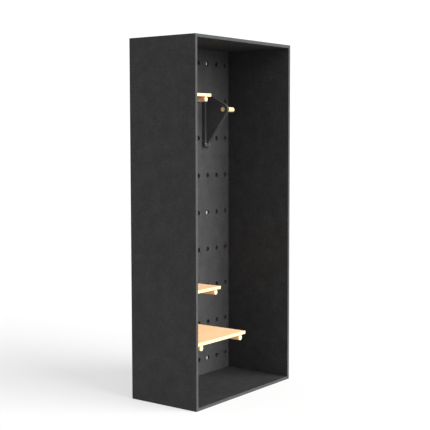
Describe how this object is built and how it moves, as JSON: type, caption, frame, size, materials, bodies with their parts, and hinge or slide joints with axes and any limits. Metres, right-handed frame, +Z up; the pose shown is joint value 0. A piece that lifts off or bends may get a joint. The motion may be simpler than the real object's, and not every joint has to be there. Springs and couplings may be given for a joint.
{
  "type": "bicycle wall rack",
  "caption": "Tall open-fronted cabinet with a perforated back, loose shelves on round wooden pegs and a bracket with a wooden peg that holds a bicycle upright by its front wheel.",
  "frame": {"origin": "centre of the base, on the floor", "axes": "+Z up, +Y towards the wall, +X to the right as seen from the open front"},
  "size_m": [0.955, 0.48, 2.1],
  "materials": {
    "dark_board": "matt black-dyed fibreboard, lightly mottled",
    "peg_panel_board": "matt black-dyed fibreboard, lightly mottled",
    "shelf_wood": "clear matt-oiled pale solid wood",
    "peg_wood": "sanded pale dowel",
    "beech_dowel": "fluted, unfinished",
    "zinc_steel": "bright zinc plate"
  },
  "bodies": {
    "cabinet": {"side_left": "dark_board", "side_right": "dark_board", "top_board": "dark_board", "bottom_board": "dark_board", "peg_panel": "peg_panel_board", "back_sheet": "dark_board", "bracket_plate": "peg_panel_board", "bracket_gusset": "peg_panel_board", "cam_bolt_top_left_front": "zinc_steel", "cam_bolt_top_left_back": "zinc_steel", "cam_bolt_top_right_front": "zinc_steel", "cam_bolt_top_right_back": "zinc_steel", "cam_bolt_bottom_left_front": "zinc_steel", "cam_bolt_bottom_left_back": "zinc_steel", "cam_bolt_bottom_right_front": "zinc_steel", "cam_bolt_bottom_right_back": "zinc_steel", "cam_top_left_front": "zinc_steel", "cam_top_left_back": "zinc_steel", "cam_top_right_front": "zinc_steel", "cam_top_right_back": "zinc_steel", "cam_bottom_left_front": "zinc_steel", "cam_bottom_left_back": "zinc_steel", "cam_bottom_right_front": "zinc_steel", "cam_bottom_right_back": "zinc_steel", "panel_dowel_left_low": "beech_dowel", "panel_dowel_left_high": "beech_dowel", "panel_dowel_right_low": "beech_dowel", "panel_dowel_right_high": "beech_dowel", "wall_washer_left_low": "zinc_steel", "wall_washer_left_mid": "zinc_steel", "wall_washer_left_high": "zinc_steel", "wall_washer_right_low": "zinc_steel", "wall_washer_right_mid": "zinc_steel", "wall_washer_right_high": "zinc_steel", "wall_screw_left_low": "zinc_steel", "wall_screw_left_mid": "zinc_steel", "wall_screw_left_high": "zinc_steel", "wall_screw_right_low": "zinc_steel", "wall_screw_right_mid": "zinc_steel", "wall_screw_right_high": "zinc_steel", "plate_screw_left_low": "zinc_steel", "plate_screw_left_high": "zinc_steel", "plate_screw_right_low": "zinc_steel", "plate_screw_right_high": "zinc_steel", "gusset_screw_low": "zinc_steel", "gusset_screw_high": "zinc_steel"},
    "upper_shelf": {"upper_shelf": "shelf_wood"},
    "middle_shelf": {"middle_shelf": "shelf_wood"},
    "lower_shelf": {"lower_shelf": "shelf_wood"},
    "upper_peg_left": {"upper_peg_left": "peg_wood"},
    "upper_peg_right": {"upper_peg_right": "peg_wood"},
    "middle_peg_left": {"middle_peg_left": "peg_wood"},
    "middle_peg_right": {"middle_peg_right": "peg_wood"},
    "lower_peg_left": {"lower_peg_left": "peg_wood"},
    "lower_peg_right": {"lower_peg_right": "peg_wood"},
    "wheel_peg": {"wheel_peg": "peg_wood"}
  },
  "joints": [
    {"name": "lift_upper_shelf", "type": "slide", "parent": "cabinet", "child": "upper_shelf", "axis": [0, 0, 1], "range_m": [0, 0.12]},
    {"name": "lift_middle_shelf", "type": "slide", "parent": "cabinet", "child": "middle_shelf", "axis": [0, 0, 1], "range_m": [0, 0.12]},
    {"name": "lift_lower_shelf", "type": "slide", "parent": "cabinet", "child": "lower_shelf", "axis": [0, 0, 1], "range_m": [0, 0.12]},
    {"name": "pull_upper_peg_left", "type": "slide", "parent": "cabinet", "child": "upper_peg_left", "axis": [0, -1, 0], "range_m": [0, 0.03]},
    {"name": "pull_upper_peg_right", "type": "slide", "parent": "cabinet", "child": "upper_peg_right", "axis": [0, -1, 0], "range_m": [0, 0.03]},
    {"name": "pull_middle_peg_left", "type": "slide", "parent": "cabinet", "child": "middle_peg_left", "axis": [0, -1, 0], "range_m": [0, 0.03]},
    {"name": "pull_middle_peg_right", "type": "slide", "parent": "cabinet", "child": "middle_peg_right", "axis": [0, -1, 0], "range_m": [0, 0.03]},
    {"name": "pull_lower_peg_left", "type": "slide", "parent": "cabinet", "child": "lower_peg_left", "axis": [0, -1, 0], "range_m": [0, 0.03]},
    {"name": "pull_lower_peg_right", "type": "slide", "parent": "cabinet", "child": "lower_peg_right", "axis": [0, -1, 0], "range_m": [0, 0.03]},
    {"name": "draw_wheel_peg", "type": "slide", "parent": "cabinet", "child": "wheel_peg", "axis": [-1, 0, 0], "range_m": [0, 0.083]}
  ]
}
